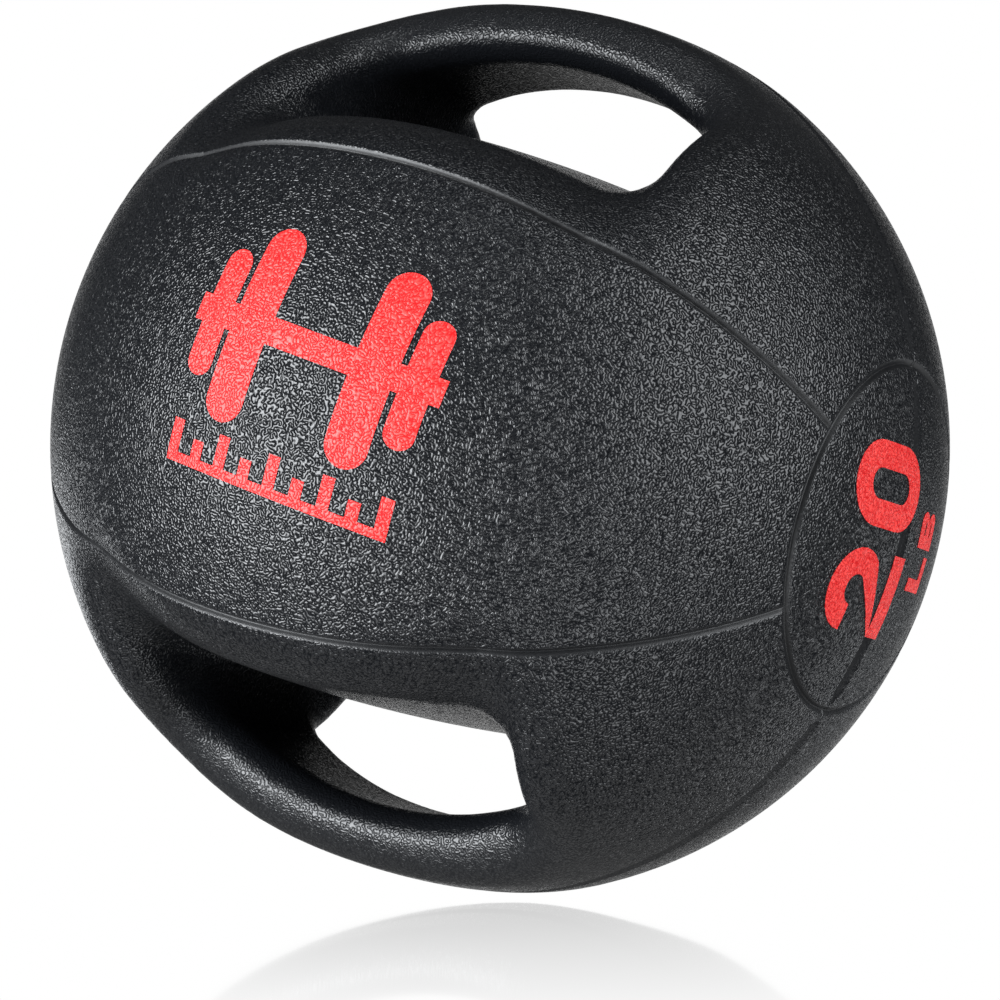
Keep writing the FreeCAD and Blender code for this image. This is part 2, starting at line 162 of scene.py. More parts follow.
def line_distances(p):
    """Distances to the panel seams, the disc circles and the mould line."""
    x, y, z = p[..., 0], p[..., 1], p[..., 2]
    radius = np.sqrt((p ** 2).sum(-1))
    from_axis = np.arccos(np.clip(np.abs(x) / np.maximum(radius, 1e-6), 0, 1))
    seam = np.abs(np.abs(z) * math.cos(SEAM_ANGLE) - np.abs(y) * math.sin(SEAM_ANGLE))
    on_disc = np.clip((DISC_ANGLE - from_axis) * BALL_RADIUS, 0, None)
    seam = np.hypot(seam, on_disc)
    disc = np.abs(from_axis - DISC_ANGLE) * BALL_RADIUS
    off_ball = FAR_AWAY * (np.abs(radius - BALL_RADIUS) > SKIN_BAND)
    in_tunnel = 2.0 * np.clip(MOULD_LINE_END - radius, 0, None)
    return seam + off_ball, disc + off_ball, np.abs(y) + in_tunnel


def groove_depth(p):
    """How deep the moulded lines cut into the surface at a point on it."""
    seam, disc, mould = line_distances(p)
    depth = SEAM_DEPTH * np.exp(-((seam / SEAM_HALF_WIDTH) ** 2))
    depth = np.maximum(depth, DISC_DEPTH * np.exp(-((disc / DISC_HALF_WIDTH) ** 2)))
    return depth + MOULD_DEPTH * np.exp(-((mould / MOULD_HALF_WIDTH) ** 2))


# ---------------------------------------------------------------- meshing the formula
GRID_STEP = 3.0
REFINED_BANDS = (5.5, 3.2, 1.8)  # each band round the moulded lines is twice as fine as the last
MOULD_BANDS = (2.4, 1.4, 0.9)
SMOOTH_BAND, SMOOTH_BAND_EDGE = 0.9, 0.6  # smooth rubber beside the seams, and how soon the grain starts
MOULD_GRAIN_REACH = 0.7                   # the grain comes this much nearer to the mould line
GRIP_BAND_START, GRIP_BAND_WIDTH, GRIP_SMOOTHNESS = 95.0, 20.0, 0.35
HANDLED_START, HANDLED_WIDTH, HANDLED_REACH = 100.0, 25.0, 35.0
SHADE_START, SHADE_WIDTH = 132.0, 8.0     # faces turned inwards get painted shade this deep in a tunnel
GROOVE_SHADE_START, GROOVE_SHADE = 0.6, 0.4  # share of the groove's depth, and how much painted shade its bottom gets


def gradient(field, p, step=0.05):
    """The slope of a formula at the points p, by central differences."""
    slopes = []
    for axis in np.eye(3):
        slopes.append((field(p + step * axis) - field(p - step * axis)) / (2 * step))
    return np.stack(slopes, -1)


def project(field, p, rounds=4):
    """Moves points onto the surface field = 0."""
    for _ in range(rounds):
        slope = gradient(field, p)
        p = p - (field(p) / np.maximum((slope ** 2).sum(-1), 0.3))[..., None] * slope
    return p


def surface_net(field, step, reach):
    """Points and quads of field = 0 where y <= 0, one point in each grid cell that the surface crosses."""
    count = math.ceil(reach / step)
    across = np.arange(-count, count + 1) * step
    along = (np.arange(-count, 1) + 0.5) * step
    samples = np.stack(np.meshgrid(across, along, across, indexing="ij"), -1)
    values = field(samples)
    cells = np.array(values.shape) - 1
    total, hits, quads = np.zeros((cells.prod(), 3)), np.zeros(cells.prod()), []
    for axis in range(3):
        first = np.take(values, range(values.shape[axis] - 1), axis)
        second = np.take(values, range(1, values.shape[axis]), axis)
        start = np.argwhere((first < 0) != (second < 0))
        a, b = first[tuple(start.T)], second[tuple(start.T)]
        at = samples[tuple(start.T)] + (a / (a - b))[:, None] * step * np.eye(3)[axis]
        ring = np.zeros((4, 3), int)
        ring[:, (axis + 1) % 3] = (-1, 0, 0, -1)
        ring[:, (axis + 2) % 3] = (-1, -1, 0, 0)
        around = start[:, None, :] + ring[None]
        known = ((around >= 0) & (around < cells)).all(-1)
        index = np.ravel_multi_index(np.clip(around, 0, cells - 1).reshape(-1, 3).T, cells)
        index = index.reshape(-1, 4)
        for corner in range(4):
            here = known[:, corner]
            np.add.at(total, index[here, corner], at[here])
            np.add.at(hits, index[here, corner], 1)
        whole = known.all(1)
        loops = index[whole]
        loops[a[whole] >= 0] = loops[a[whole] >= 0][:, ::-1]
        quads.append(loops)
    quads = np.concatenate(quads)
    used, quads = np.unique(quads, return_inverse=True)
    quads = quads.reshape(-1, 4)
    points = total[used] / hits[used][:, None]
    joint = np.unravel_index(used, cells)[1] == cells[1] - 1
    return points, quads, joint


def relaxed(field, points, quads, joint, rounds=5):
    """Evens out the net's quads and keeps them on the surface; joint points stay at y = 0."""
    points[joint, 1] = 0
    for _ in range(rounds):
        total, hits = np.zeros_like(points), np.zeros(len(points))
        for k in range(4):
            one, two = quads[:, k], quads[:, (k + 1) % 4]
            for here, there in ((one, two), (two, one)):
                np.add.at(total, here, points[there])
                np.add.at(hits, here, 1)
        points = 0.5 * points + 0.5 * total / hits[:, None]
        points[joint, 1] = 0
        points = project(field, points, 2)
    return project(field, points)


def coordinates(bm):
    return np.array([v.co[:] for v in bm.verts])


def refine(bm, near):
    """Halves the edges whose two ends are both marked in near."""
    bm.verts.index_update()
    edges = [e for e in bm.edges if near[e.verts[0].index] and near[e.verts[1].index]]
    bmesh.ops.subdivide_edges(bm, edges=edges, cuts=1, use_grid_fill=True)


def close_joint(bm):
    """Fills the cut at y = 0 and returns how many faces were there before."""
    before = len(bm.faces)
    open_edges = [e for e in bm.edges if e.is_boundary]
    bmesh.ops.triangle_fill(bm, edges=open_edges, normal=(0, 1, 0))
    return before


def shell_mesh(name, side):
    """One half of the cover; side is -1 for the front and +1 for the rear."""
    def field(p):
        return cover_form(p, side > 0)

    points, quads, joint = surface_net(field, GRID_STEP, BALL_RADIUS + 2 * GRID_STEP)
    points = relaxed(field, points, quads, joint)
    mesh = bpy.data.meshes.new(name)
    mesh.from_pydata(points.tolist(), [], quads.tolist())
    bm = bmesh.new()
    bm.from_mesh(mesh)
    for band, mould_band in zip(REFINED_BANDS, MOULD_BANDS):
        p = coordinates(bm)
        seam, disc, mould = line_distances(p)
        outside = np.abs(outer_form(p)) < 0.5
        near = outside & ((np.minimum(seam, disc) < band) | (mould < mould_band))
        if side > 0:
            rim = np.abs(np.hypot(p[:, 0], p[:, 2]) - VALVE_HOLE_RADIUS)
            near |= (rim < 1.5 * band) & (p[:, 1] < -CAVITY_RADIUS)
        refine(bm, near)
        for vert, place in zip(bm.verts, project(field, coordinates(bm), 3)):
            vert.co = place
    skin_faces = close_joint(bm)
    bm.normal_update()
    bm.to_mesh(mesh)
    bm.free()
    finish_shell(mesh, field, side, skin_faces)
    return mesh


def fade(values, start, width):
    """Rises from 0 at start to 1 at start + width."""
    return np.clip((values - start) / width, 0, 1)


def surface_marks(p, slope, depth, outside):
    """Where the rubber has grain, where hands polish it and where shade is painted in the tunnels and
    grooves.
    """
    seam, disc, mould = line_distances(p)
    height, radius = np.abs(p[:, 2]), np.linalg.norm(p, axis=1)
    on_grip = fade(height, GRIP_BAND_START, GRIP_BAND_WIDTH)
    beside = np.minimum(np.minimum(seam, disc), mould + MOULD_GRAIN_REACH)
    grain = fade(beside, SMOOTH_BAND, SMOOTH_BAND_EDGE) * (1 - GRIP_SMOOTHNESS * on_grip) * outside
    along_grip = np.clip(2 - np.abs(p[:, 0]) / HANDLED_REACH, 0, 1)
    handled = outside * fade(height, HANDLED_START, HANDLED_WIDTH) * along_grip
    # Painted shade: inward faces deep in a tunnel and the bottoms of the grooves are made to reflect less.
    facing_in = np.clip(0.5 - 1.2 * (slope * p).sum(-1) / radius, 0, 1)
    in_tunnel = np.clip((SHADE_START - radius) / SHADE_WIDTH, 0, 1) * facing_in
    in_groove = np.clip(depth / SEAM_DEPTH - GROOVE_SHADE_START, 0, GROOVE_SHADE)
    return {"grain": grain, "handled": handled, "painted_tunnel_groove_shade": outside * np.maximum(in_tunnel, in_groove)}


def finish_shell(mesh, field, side, skin_faces):
    """Presses in the moulded lines, sets exact normals and stores the marks for the rubber's material."""
    p = np.empty(len(mesh.vertices) * 3)
    mesh.vertices.foreach_get("co", p)
    p = p.reshape(-1, 3)
    outside = np.abs(outer_form(p)) < 0.3
    slope = gradient(field, p)
    slope /= np.linalg.norm(slope, axis=1)[:, None]
    depth = groove_depth(p) * outside
    normals = slope + gradient(groove_depth, p, 0.02) * outside[:, None]
    normals /= np.linalg.norm(normals, axis=1)[:, None]
    marks = surface_marks(p, slope, depth, outside)
    p = p - depth[:, None] * slope
    if side > 0:
        p[:, 1] *= -1
        normals[:, 1] *= -1
        mesh.flip_normals()
    mesh.vertices.foreach_set("co", (p * MM).ravel())
    for attribute, values in marks.items():
        data = mesh.attributes.new(attribute, "FLOAT", "POINT").data
        data.foreach_set("value", values.astype(np.float32))
    corner_vertex = np.empty(len(mesh.loops), int)
    mesh.loops.foreach_get("vertex_index", corner_vertex)
    starts = np.empty(len(mesh.polygons), int)
    mesh.polygons.foreach_get("loop_start", starts)
    corner_normals = normals[corner_vertex]
    corner_normals[starts[skin_faces]:] = (0, -side, 0)
    mesh.shade_smooth()
    mesh.normals_split_custom_set(corner_normals.tolist())
    mesh.update()


# ---------------------------------------------------------------- printed marks
PRINT_GAP, PRINT_THICKNESS, PRINT_STEP, PRINT_MERGE = 0.03, 0.09, 2.0, 0.02
EMBLEM_TILT = math.radians(6.0)
EMBLEM_REACH, EMBLEM_BAR = 41.0, 8.0
EMBLEM_PLATES = ((20.5, 13.0, 58.0), (33.5, 9.0, 38.0))  # place along the bar, width, height
EMBLEM_CENTRE, STRIP_CENTRE = (8.0, 11.0), (5.0, -27.0)
STRIP_SHARE, STRIP_MARK_SHARE = 0.9, 0.95  # the strip against the emblem, its marks against the strip
DIGIT_STROKE, UNIT_STROKE = 8.0, 4.0


def arc(u, v, radius, start, sweep, steps=16):
    """Points on a circle round (u, v), from the angle start through sweep, in degrees."""
    turns = np.radians(start + sweep * np.arange(steps + 1) / steps)
    return [(u + radius * math.cos(a), v + radius * math.sin(a)) for a in turns]


def emblem_outline():
    """A hand weight: a bar with two round-ended plates at each end."""
    half_bar, right = 0.5 * EMBLEM_BAR, []
    for middle, width, height in EMBLEM_PLATES:
        radius, straight = 0.5 * width, 0.5 * (height - width)
        right.append((middle - radius, half_bar))
        right += arc(middle, straight, radius, 180, -180)
        right.append((middle + radius, half_bar))
    right += [(EMBLEM_REACH, half_bar)]
    right += [(u, -v) for u, v in reversed(right)]
    return [right + [(-u, -v) for u, v in right]]


def strip_outline():
    """A measuring strip: a base line with marks, every second one shorter."""
    reach, marks, half_mark = STRIP_SHARE * EMBLEM_REACH, 9, 1.9
    base, top, tall, short = -6.0, -3.2, 6.0, 2.0
    points = [(-reach, top), (-reach, base), (reach, base), (reach, top)]
    for k in reversed(range(marks)):
        u = STRIP_MARK_SHARE * reach * (2 * k / (marks - 1) - 1)
        v = tall if k % 2 == 0 else short
        points += [(u + half_mark, top), (u + half_mark, v), (u - half_mark, v), (u - half_mark, top)]
    return [points]


def two_outline(wide, tall):
    """The digit 2: a hook, a diagonal and a foot."""
    radius, low = 0.5 * wide, -0.5 * tall
    top, inner = -low - radius, radius - DIGIT_STROKE
    outer_end, inner_end = -42.0, -30.0
    outer = arc(0, top, radius, 180, outer_end - 180)
    inside = arc(0, top, inner, inner_end, 180 - inner_end)
    heel = (radius - 1.55 * DIGIT_STROKE - 0.42 * wide, low + DIGIT_STROKE)
    foot = [heel, (radius, low + DIGIT_STROKE), (radius, low), (-radius, low), (-radius, low + DIGIT_STROKE)]
    return [outer + foot + inside]


def zero_outline(wide, tall):
    """The digit 0: two ovals with straight sides."""
    straight = 0.5 * (tall - wide)
    rings = []
    for radius in (0.5 * wide, 0.5 * wide - DIGIT_STROKE):
        rings.append(arc(0, straight, radius, 0, 180) + arc(0, -straight, radius, 180, 180))
    return rings


def l_outline(wide, tall):
    left, low, s = -0.5 * wide, -0.5 * tall, UNIT_STROKE
    return [[(left, low), (left + wide, low), (left + wide, low + s), (left + s, low + s), (left + s, -low),
             (left, -low)]]


def b_outline(wide, tall):
    """The letter B: a stem with two round bowls, each with a hole."""
    left, low, s = -0.5 * wide, -0.5 * tall, UNIT_STROKE
    bowl = 0.25 * tall
    centre = left + wide - bowl
    outer = [(left, -low), (left, low)] + arc(centre, low + bowl, bowl, -90, 180, 12)
    outer += arc(centre, -low - bowl, bowl, -90, 180, 12)[1:]
    rings = [outer]
    hole = 0.5 * (0.5 * tall - 1.5 * s)
    for v, shift in ((low + bowl, 0.25 * s), (-low - bowl, -0.25 * s)):
        rings.append([(left + s, v + shift - hole)] + arc(centre, v + shift, hole, -90, 180, 8)
                     + [(left + s, v + shift + hole)])
    return rings


def on_front(u, v, centre):
    """A point of a mark on the front panel, as a direction from the ball's centre."""
    cos, sin = math.cos(EMBLEM_TILT), math.sin(EMBLEM_TILT)
    x, z = centre[0] + u * cos + v * sin, centre[1] - u * sin + v * cos
    return Vector((x, -math.sqrt(BALL_RADIUS ** 2 - x * x - z * z), z)).normalized()


def on_disc(u, v, centre):
    """A point of a mark on the end disc: u runs to +Z and v to -Y."""
    y, z = centre[0] - v, centre[1] + u
    return Vector((math.sqrt(BALL_RADIUS ** 2 - y * y - z * z), y, z)).normalized()


def flat_mark(rings):
    """A flat face with the given outline and holes, cut into a fine grid so that it can bend."""
    bm = bmesh.new()
    flat = [Vector((u, v, 0)) for ring in rings for u, v in ring]
    verts = [bm.verts.new(p) for p in flat]
    for triangle in tessellate_polygon([[Vector((u, v, 0)) for u, v in ring] for ring in rings]):
        bm.faces.new([verts[i] for i in triangle])
    bmesh.ops.recalc_face_normals(bm, faces=bm.faces)
    for axis in (0, 1):
        normal = Vector((1 - axis, axis, 0))
        low, high = min(p[axis] for p in flat), max(p[axis] for p in flat)
        for k in range(1, int((high - low) / PRINT_STEP) + 1):
            everything = bm.verts[:] + bm.edges[:] + bm.faces[:]
            cut = normal * (low + k * PRINT_STEP)
            bmesh.ops.bisect_plane(bm, geom=everything, plane_co=cut, plane_no=normal)
    bmesh.ops.remove_doubles(bm, verts=bm.verts, dist=PRINT_MERGE)
    bmesh.ops.dissolve_degenerate(bm, edges=bm.edges, dist=PRINT_MERGE)
    bm.normal_update()
    for face in bm.faces:
        if face.normal.z < 0:
            face.normal_flip()
    return bm


def print_mark(name, rings, place, centre, node, material):
    """A thin film of ink that lies on the ball: an outer skin, an inner skin and a rim."""
    bm = flat_mark(rings)
    bm.verts.index_update()
    count, skin = len(bm.verts), len(bm.faces)
    directions = [place(v.co.x, v.co.y, centre) for v in bm.verts]
    foot, top = BALL_RADIUS + PRINT_GAP, BALL_RADIUS + PRINT_GAP + PRINT_THICKNESS
    points = [d * r * MM for r in (top, foot) for d in directions]
    faces = [[v.index for v in f.verts] for f in bm.faces]
    faces += [[i + count for i in reversed(f)] for f in faces]
    for edge in bm.edges:
        if edge.is_boundary:
            corner = edge.link_loops[0]
            a, b = corner.vert.index, corner.link_loop_next.vert.index
            faces.append([b, a, a + count, b + count])
    bm.free()
    mesh = bpy.data.meshes.new(name)
    mesh.from_pydata(points, [], faces)
    mesh.shade_smooth()
    corner_normals = []
    for polygon in mesh.polygons:
        outwards = [points[index].normalized() for index in polygon.vertices]
        if polygon.index < skin:
            corner_normals += outwards
        elif polygon.index < 2 * skin:
            corner_normals += [-direction for direction in outwards]
        else:
            corner_normals += [polygon.normal] * len(outwards)
    mesh.normals_split_custom_set(corner_normals)
    return add_piece(name, mesh, material, node)


def add_piece(name, mesh, material, node):
    """Puts a finished mesh in the scene, in place of a CAD node."""
    piece = bpy.data.objects.new(name, mesh)
    bpy.context.scene.collection.objects.link(piece)
    mesh.materials.append(material)
    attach(piece, "root")
    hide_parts(node)
    return piece


# ---------------------------------------------------------------- materials
def start_material(name):
    """A new material, its shader and the place on the object in metres."""
    material = bpy.data.materials.new(name)
    material.use_nodes = True
    nodes = material.node_tree.nodes
    shader = nodes["Principled BSDF"]
    place = nodes.new("ShaderNodeTexCoord").outputs["Object"]
    return material, shader, place


def noise(material, place, scale, detail, roughness):
    node = material.node_tree.nodes.new("ShaderNodeTexNoise")
    node.inputs["Scale"].default_value = scale
    node.inputs["Detail"].default_value = detail
    node.inputs["Roughness"].default_value = roughness
    material.node_tree.links.new(place, node.inputs["Vector"])
    return node.outputs["Fac"]


def remap(material, value, low, high, new_low, new_high):
    """Stretches the span low to high into new_low to new_high, and stops at its ends."""
    node = material.node_tree.nodes.new("ShaderNodeMapRange")
    for key, number in zip(("From Min", "From Max", "To Min", "To Max"), (low, high, new_low, new_high)):
        node.inputs[key].default_value = number
    material.node_tree.links.new(value, node.inputs["Value"])
    return node.outputs["Result"]


def math_node(material, operation, first, second):
    node = material.node_tree.nodes.new("ShaderNodeMath")
    node.operation = operation
    for socket, value in zip(node.inputs, (first, second)):
        if isinstance(value, (int, float)):
            socket.default_value = value
        else:
            material.node_tree.links.new(value, socket)
    return node.outputs[0]


def blend_colours(material, factor, first, second):
    node = material.node_tree.nodes.new("ShaderNodeMix")
    node.data_type = "RGBA"
    node.inputs["A"].default_value = (*first, 1)
    node.inputs["B"].default_value = (*second, 1)
    material.node_tree.links.new(factor, node.inputs["Factor"])
    return node.outputs["Result"]


def bump(material, height, distance, below=None):
    node = material.node_tree.nodes.new("ShaderNodeBump")
    node.inputs["Strength"].default_value = 1.0
    node.inputs["Distance"].default_value = distance
    material.node_tree.links.new(height, node.inputs["Height"])
    if below is not None:
        material.node_tree.links.new(below, node.inputs["Normal"])
    return node.outputs["Normal"]


def vertex_value(material, name):
    """One of the marks that surface_marks stores in the cover's mesh."""
    node = material.node_tree.nodes.new("ShaderNodeAttribute")
    node.attribute_name = name
    return node.outputs["Fac"]


GRAIN_SCALE, GRAIN_DEPTH = 980.0, 0.00024  # per metre, and metres
GRAIN_CROWN = 0.7                          # below 1, the pebbles have flatter tops and steeper sides
CREASE_END = 0.6                           # height at which a pebble's top starts
# The darker rubber colour is painted into the creases and the lighter one onto the crests: painted crease
# shade.
RUBBER_DARK, RUBBER_LIGHT = (0.003, 0.0033, 0.004), (0.006, 0.0066, 0.0078)
# The second ink colour, a lighter salmon, is painted on the grain's crests: a painted highlight.
INK_DEEP, INK_CREST_HIGHLIGHT = (0.34, 0.003, 0.005), (0.6, 0.035, 0.03)


def pebble_grain(material, place):
    """The height of the moulded grain, 0 to 1: short winding domes, parted by creases of even width.

    The creases run where a soft noise passes its middle value.
    """
    soft = noise(material, place, GRAIN_SCALE, 0.0, 0.5)
    off_middle = math_node(material, "ABSOLUTE", math_node(material, "SUBTRACT", soft, 0.5), 0.0)
    return math_node(material, "POWER", remap(material, off_middle, 0.0, 0.3, 0.0, 1.0), GRAIN_CROWN)


def cover_rubber():
    """Black rubber: moulded grain that fades beside the seams, polished where hands hold it.

    The hollows between the pebbles are painted dark as painted shade, in base colour and in specular level;
    the tunnels' insides and the grooves' bottoms get painted shade in specular level too.
    """
    material, shader, place = start_material("moulded_black_rubber")
    link = material.node_tree.links.new
    crest = pebble_grain(material, place)
    grain = vertex_value(material, "grain")
    patches = noise(material, place, 14.0, 4.0, 0.6)
    dust = noise(material, place, 420.0, 5.0, 0.7)
    shade = math_node(material, "MULTIPLY", crest, grain)
    # Painted shade: the creases get the darker rubber colour, and the noise patches vary it at random.
    painted_crease_shade_and_patches = math_node(material, "MULTIPLY", shade, remap(material, patches, 0.3, 0.7, 0.5, 1.0))
    link(blend_colours(material, painted_crease_shade_and_patches, RUBBER_DARK, RUBBER_LIGHT), shader.inputs["Base Color"])
    sheen = remap(material, shade, 0.2, CREASE_END, 0.42, 0.21)
    rough = math_node(material, "ADD", sheen, remap(material, patches, 0.3, 0.7, 0.0, 0.05))
    rough = math_node(material, "ADD", rough, remap(material, dust, 0.35, 0.65, -0.03, 0.03))
    polish = remap(material, vertex_value(material, "handled"), 0, 1, 0.0, -0.03)
    link(math_node(material, "ADD", rough, polish), shader.inputs["Roughness"])
    fine = bump(material, dust, 0.000012)
    link(bump(material, shade, GRAIN_DEPTH, fine), shader.inputs["Normal"])
    # Painted shade: the creases reflect far less light than the crests.
    painted_crease_shade = math_node(material, "MULTIPLY", grain, remap(material, crest, 0.18, CREASE_END, 1.0, 0.0))
    # Painted shade in the tunnels and grooves: the specular level drops to 0.02 there.
    painted_shade_factor = remap(material, vertex_value(material, "painted_tunnel_groove_shade"), 0.0, 1.0, 1.0, 0.02)
    beside_lines = remap(material, grain, 0.0, 0.65, 0.9, 1.0)
    mirror = math_node(material, "MULTIPLY", painted_shade_factor, beside_lines)
    mirror = math_node(material, "MULTIPLY", remap(material, painted_crease_shade, 0.0, 1.0, 0.5, 0.02), mirror)
    link(mirror, shader.inputs["Specular IOR Level"])
    return material


def print_ink():
    """Red ink over the grain, painted lighter salmon on the crests as a painted highlight."""
    material, shader, place = start_material("red_print_ink")
    link = material.node_tree.links.new
    crest = pebble_grain(material, place)
    speck = noise(material, place, 900.0, 4.0, 0.7)
    # Painted highlight on the crests, varied by a random speckle.
    crest_highlight_and_speckle = math_node(material, "MULTIPLY", crest, remap(material, speck, 0.3, 0.6, 0.6, 1.4))
    link(blend_colours(material, crest_highlight_and_speckle, INK_DEEP, INK_CREST_HIGHLIGHT), shader.inputs["Base Color"])
    link(remap(material, speck, 0.3, 0.7, 0.36, 0.46), shader.inputs["Roughness"])
    # Painted shade: the creases reflect less than the crests.
    link(remap(material, crest, 0.2, 0.55, 0.08, 0.35), shader.inputs["Specular IOR Level"])
    fine = bump(material, speck, 0.00001)
    link(bump(material, crest, 0.8 * GRAIN_DEPTH, fine), shader.inputs["Normal"])
    return material


def plain_finish(name, dark, light, scale, grain, roughness):
    """A moulded or woven inner material: mottled colour, uneven gloss and a grain of its own."""
    material, shader, place = start_material(name)
    link = material.node_tree.links.new
    mottle = noise(material, place, scale, 4.0, 0.6)
    fine = noise(material, place, 8 * scale, 3.0, 0.6)
    link(blend_colours(material, mottle, dark, light), shader.inputs["Base Color"])
    link(remap(material, fine, 0.3, 0.7, roughness - 0.08, roughness + 0.08), shader.inputs["Roughness"])
    link(bump(material, fine, grain), shader.inputs["Normal"])
    return material


def wound_cord():
    """The carcass: tyre cord wound round the bladder, set in rubber."""
    material, shader, place = start_material("wound_cord_carcass")
    link = material.node_tree.links.new
    layers = []
    for turn in (0.35, -0.35):
        mapping = material.node_tree.nodes.new("ShaderNodeMapping")
        mapping.inputs["Rotation"].default_value = (0.0, turn, 0.0)
        link(place, mapping.inputs["Vector"])
        wave = material.node_tree.nodes.new("ShaderNodeTexWave")
        wave.inputs["Scale"].default_value = 180.0
        wave.inputs["Distortion"].default_value = 1.5
        wave.bands_direction = "Z"
        link(mapping.outputs["Vector"], wave.inputs["Vector"])
        layers.append(wave.outputs["Fac"])
    cords = math_node(material, "MAXIMUM", *layers)
    colour = blend_colours(material, cords, (0.03, 0.028, 0.025), (0.32, 0.29, 0.23))
    link(colour, shader.inputs["Base Color"])
    link(remap(material, cords, 0, 1, 0.5, 0.75), shader.inputs["Roughness"])
    link(bump(material, cords, 0.0005), shader.inputs["Normal"])
    return material


def finish_inner_nodes():
    """Gives every CAD node that stays its own finish."""
    nylon = plain_finish("cord_reinforced_nylon", (0.36, 0.34, 0.27), (0.52, 0.49, 0.39),
                         300.0, 0.00002, 0.45)
    ballast = plain_finish("pressed_rubber_granules", (0.012, 0.012, 0.013), (0.06, 0.058, 0.055),
                           260.0, 0.0004, 0.8)
    butyl = plain_finish("butyl_sheet", (0.015, 0.015, 0.017), (0.03, 0.03, 0.033), 60.0, 0.00001, 0.38)
    valve = plain_finish("valve_rubber", (0.012, 0.012, 0.013), (0.022, 0.022, 0.024), 500.0, 0.00002, 0.5)
    finishes = {
        "upper_grip_core": nylon, "lower_grip_core": nylon, "front_ballast": ballast, "rear_ballast": ballast,
        "carcass": wound_cord(), "bladder": butyl, "valve_housing": valve, "valve_core": valve,
    }
    for name, material in finishes.items():
        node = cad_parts[name]
        if not node.material_slots:
            node.data.materials.append(material)
        for material_slot in node.material_slots:
            material_slot.material = material


# ---------------------------------------------------------------- the object
def build_cover():
    rubber = cover_rubber()
    for side, name in ((-1, "front_cover"), (1, "rear_cover")):
        mesh = shell_mesh(f"{name}_moulded", side)
        add_piece(f"{name}_moulded", mesh, rubber, name)


def build_prints():
    ink = print_ink()
    print_mark("emblem_print", emblem_outline(), on_front, EMBLEM_CENTRE, "front_emblem", ink)
    print_mark("strip_print", strip_outline(), on_front, STRIP_CENTRE, "emblem_strip", ink)
    marks = (
        ("weight_digit_two", two_outline, "digit_two_print"),
        ("weight_digit_zero", zero_outline, "digit_zero_print"),
        ("unit_letter_l", l_outline, "unit_l_print"),
        ("unit_letter_b", b_outline, "unit_b_print"),
    )
    for node, outline, name in marks:
        low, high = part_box(node)
        size, middle = (high - low) / MM, (high + low) / (2 * MM)
        print_mark(name, outline(size.z, size.y), on_disc, (middle.y, middle.z), node, ink)


# ---------------------------------------------------------------- studio
# The view lies along a direction given by its azimuth (from -Y towards +X) and elevation, and is rolled.
VIEW_AIM = Vector((0.0038, 0.0016, -0.0158))
VIEW_AZIMUTH, VIEW_ELEVATION, VIEW_ROLL = math.radians(28.34), math.radians(-0.65), math.radians(14.63)
VIEW_DISTANCE = 1.290
LENS = 151.17
FLOOR_RADIUS, FLOOR_DROP = 4.0, 0.1378
FLOOR_GLOSS, FLOOR_SHINE_REACH = 0.42, 0.36
WHITE_SEEN, FLOOR_FELT, WORLD_FELT = 1.0, 0.3, 0.06
COOL_WHITE = (0.94, 0.97, 1.0)
LIGHT_DISTANCE = 2.6
LIGHTS = (  # name, azimuth, elevation, width, height, power
    ("key_softbox", -59, 3, 1.9, 2.3, 235),
    ("front_fill", -34, -20, 1.0, 2.4, 42),
    ("right_softbox", 60, 14, 2.2, 3.2, 140),
    ("low_fill", 38, -48, 1.8, 1.2, 28),
    ("top_strip", 15, 74, 1.6, 0.8, 14),
    ("left_rim", -152, -8, 0.9, 0.7, 4.5),
    ("right_rim", 142, -20, 0.8, 1.6, 4),
)


def view_axes():
    """The camera's right, up and backward directions."""
    back = Vector((math.sin(VIEW_AZIMUTH) * math.cos(VIEW_ELEVATION),
                   -math.cos(VIEW_AZIMUTH) * math.cos(VIEW_ELEVATION), math.sin(VIEW_ELEVATION)))
    level = Vector((0, 0, 1)).cross(back).normalized()
    upright = back.cross(level)
    right = level * math.cos(VIEW_ROLL) + upright * math.sin(VIEW_ROLL)
    return right, back.cross(right), back


def add_camera():
    right, up, back = view_axes()
    camera = bpy.data.objects.new("camera", bpy.data.cameras.new("camera"))
    camera.data.lens = LENS
    turn = Matrix((right, up, back)).transposed().to_4x4()
    camera.matrix_world = Matrix.Translation(VIEW_AIM + VIEW_DISTANCE * back) @ turn
    bpy.context.scene.collection.objects.link(camera)
    bpy.context.scene.camera = camera


def add_light(name, azimuth, elevation, width, height, power):
    """A soft box that faces the ball; azimuth is measured from the camera, to the right."""
    right, up, back = view_axes()
    a, e = math.radians(azimuth), math.radians(elevation)
    away = back * math.cos(a) * math.cos(e) + right * math.sin(a) * math.cos(e) + up * math.sin(e)
    data = bpy.data.lights.new(name, "AREA")
    data.shape, data.size, data.size_y = "RECTANGLE", width, height
    data.energy, data.color = power, COOL_WHITE
    lamp = bpy.data.objects.new(name, data)
    lamp.visible_camera = False
    turn = away.to_track_quat("Z", "Y").to_matrix().to_4x4()
    lamp.matrix_world = Matrix.Translation(away * LIGHT_DISTANCE) @ turn
    bpy.context.scene.collection.objects.link(lamp)


